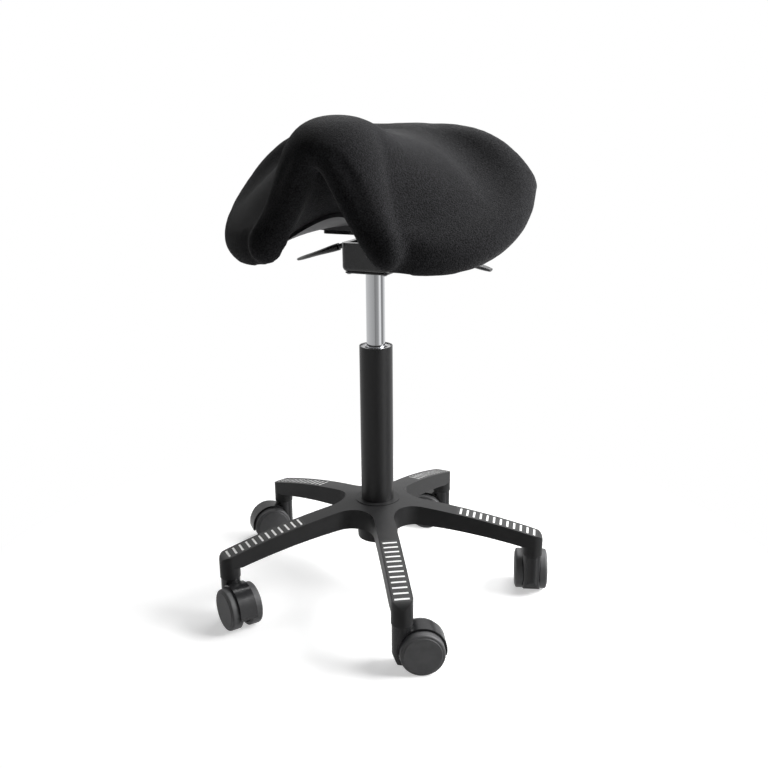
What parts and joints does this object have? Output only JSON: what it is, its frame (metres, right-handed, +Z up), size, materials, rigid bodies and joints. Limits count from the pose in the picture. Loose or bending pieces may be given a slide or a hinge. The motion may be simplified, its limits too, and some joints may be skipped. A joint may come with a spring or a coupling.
{
  "type": "saddle stool",
  "caption": "Rolling saddle stool with a winged fabric saddle seat, tilt mechanism with two levers, gas spring column and a star base on twin-wheel castors.",
  "frame": {"origin": "on the floor plane, on the column's axis", "axes": "+Z up along the column, -Y towards the seat's pommel, +X towards the seat's right wing as seen from the front"},
  "size_m": [0.5409, 0.5024, 0.724],
  "materials": {
    "base": "satin",
    "pad": "matte",
    "strip": "matte",
    "tube": "satin black",
    "bush": "satin",
    "ring": "satin",
    "steel": "ground",
    "cylinder": "polished",
    "housing": "gloss black",
    "grip": "gloss",
    "shell": "smooth matte",
    "cover": "woven stretch",
    "hood": "gloss",
    "wheel": "matte"
  },
  "bodies": {
    "base": {"base_star": "base", "foot_pads": "pad", "foot_pad_strips": "strip", "column_tube": "tube", "guide_bush": "bush", "tube_ring": "ring", "thrust_bearing_races": "steel", "thrust_bearing_balls": "steel", "castor_1_stem": "steel", "castor_2_stem": "steel", "castor_3_stem": "steel", "castor_4_stem": "steel", "castor_5_stem": "steel"},
    "piston": {"piston_rod": "steel", "rod_clip": "steel", "piston": "steel"},
    "carriage": {"gas_cylinder": "cylinder", "rod_guide": "bush", "tilt_housing": "housing", "housing_cover": "housing", "cover_screws": "steel", "tilt_pivot_pin": "steel", "height_lever_bush": "bush", "tilt_lever_bush": "bush"},
    "seat": {"seat_bracket": "housing", "seat_screws": "steel", "seat_pedestal": "shell", "seat_shell": "shell", "seat_cushion": "cover"},
    "height_lever": {"height_lever_bar": "housing", "height_lever_paddle": "grip"},
    "tilt_lever": {"tilt_lever_bar": "housing", "tilt_lever_paddle": "grip"},
    "release_button": {"release_button": "steel"},
    "castor_1": {"castor_1_hood": "hood", "castor_1_axle": "steel"},
    "castor_1_left": {"castor_1_wheel_left": "wheel"},
    "castor_1_right": {"castor_1_wheel_right": "wheel"},
    "castor_2": {"castor_2_hood": "hood", "castor_2_axle": "steel"},
    "castor_2_left": {"castor_2_wheel_left": "wheel"},
    "castor_2_right": {"castor_2_wheel_right": "wheel"},
    "castor_3": {"castor_3_hood": "hood", "castor_3_axle": "steel"},
    "castor_3_left": {"castor_3_wheel_left": "wheel"},
    "castor_3_right": {"castor_3_wheel_right": "wheel"},
    "castor_4": {"castor_4_hood": "hood", "castor_4_axle": "steel"},
    "castor_4_left": {"castor_4_wheel_left": "wheel"},
    "castor_4_right": {"castor_4_wheel_right": "wheel"},
    "castor_5": {"castor_5_hood": "hood", "castor_5_axle": "steel"},
    "castor_5_left": {"castor_5_wheel_left": "wheel"},
    "castor_5_right": {"castor_5_wheel_right": "wheel"}
  },
  "joints": [
    {"name": "seat_swivel", "type": "hinge", "parent": "base", "child": "piston", "pos_m": [0, 0, 0.1], "axis": [0, 0, 1], "continuous": true},
    {"name": "seat_height", "type": "slide", "parent": "piston", "child": "carriage", "axis": [0, 0, 1], "range_m": [-0.095, 0.035]},
    {"name": "seat_tilt", "type": "hinge", "parent": "carriage", "child": "seat", "pos_m": [0, 0.046, 0.533], "axis": [1, 0, 0], "range_deg": [-8, 8]},
    {"name": "height_lever_lift", "type": "hinge", "parent": "carriage", "child": "height_lever", "pos_m": [0.037, 0, 0.5398], "axis": [0, -1, 0], "range_deg": [0, 5], "stiffness_Nm_per_rad": 1, "springref_deg": -11.46},
    {"name": "tilt_lever_lift", "type": "hinge", "parent": "carriage", "child": "tilt_lever", "pos_m": [-0.037, 0.018, 0.5398], "axis": [0, 1, 0], "range_deg": [0, 5], "stiffness_Nm_per_rad": 1, "springref_deg": -11.46},
    {"name": "button_press", "type": "slide", "parent": "carriage", "child": "release_button", "axis": [0, 0, -1], "range_m": [0, 0.0035]},
    {"name": "castor_1_swivel", "type": "hinge", "parent": "base", "child": "castor_1", "pos_m": [0.12805, -0.20652, 0.06], "axis": [0, 0, 1], "continuous": true},
    {"name": "castor_1_left_spin", "type": "hinge", "parent": "castor_1", "child": "castor_1_left", "pos_m": [0.15101, -0.19432, 0.031], "axis": [-0.4695, 0.8829, 0], "continuous": true},
    {"name": "castor_1_right_spin", "type": "hinge", "parent": "castor_1", "child": "castor_1_right", "pos_m": [0.15101, -0.19432, 0.031], "axis": [-0.4695, 0.8829, 0], "continuous": true},
    {"name": "castor_2_swivel", "type": "hinge", "parent": "base", "child": "castor_2", "pos_m": [0.23599, 0.05796, 0.06], "axis": [0, 0, 1], "continuous": true},
    {"name": "castor_2_left_spin", "type": "hinge", "parent": "castor_2", "child": "castor_2_left", "pos_m": [0.22774, 0.08262, 0.031], "axis": [-0.9483, -0.3173, 0], "continuous": true},
    {"name": "castor_2_right_spin", "type": "hinge", "parent": "castor_2", "child": "castor_2_right", "pos_m": [0.22774, 0.08262, 0.031], "axis": [-0.9483, -0.3173, 0], "continuous": true},
    {"name": "castor_3_swivel", "type": "hinge", "parent": "base", "child": "castor_3", "pos_m": [0.0178, 0.24235, 0.06], "axis": [0, 0, 1], "continuous": true},
    {"name": "castor_3_left_spin", "type": "hinge", "parent": "castor_3", "child": "castor_3_left", "pos_m": [-0.00777, 0.23761, 0.031], "axis": [0.1822, -0.9833, 0], "continuous": true},
    {"name": "castor_3_right_spin", "type": "hinge", "parent": "castor_3", "child": "castor_3_right", "pos_m": [-0.00777, 0.23761, 0.031], "axis": [0.1822, -0.9833, 0], "continuous": true},
    {"name": "castor_4_swivel", "type": "hinge", "parent": "base", "child": "castor_4", "pos_m": [-0.22499, 0.09181, 0.06], "axis": [0, 0, 1], "continuous": true},
    {"name": "castor_4_left_spin", "type": "hinge", "parent": "castor_4", "child": "castor_4_left", "pos_m": [-0.24337, 0.07343, 0.031], "axis": [0.7071, -0.7071, 0], "continuous": true},
    {"name": "castor_4_right_spin", "type": "hinge", "parent": "castor_4", "child": "castor_4_right", "pos_m": [-0.24337, 0.07343, 0.031], "axis": [0.7071, -0.7071, 0], "continuous": true},
    {"name": "castor_5_swivel", "type": "hinge", "parent": "base", "child": "castor_5", "pos_m": [-0.15685, -0.1856, 0.06], "axis": [0, 0, 1], "continuous": true},
    {"name": "castor_5_left_spin", "type": "hinge", "parent": "castor_5", "child": "castor_5_left", "pos_m": [-0.13492, -0.19957, 0.031], "axis": [0.5373, 0.8434, 0], "continuous": true},
    {"name": "castor_5_right_spin", "type": "hinge", "parent": "castor_5", "child": "castor_5_right", "pos_m": [-0.13492, -0.19957, 0.031], "axis": [0.5373, 0.8434, 0], "continuous": true}
  ],
  "couplings": [
    {"joint": "button_press", "follows": "height_lever_lift", "m_per_rad": 0.037}
  ]
}
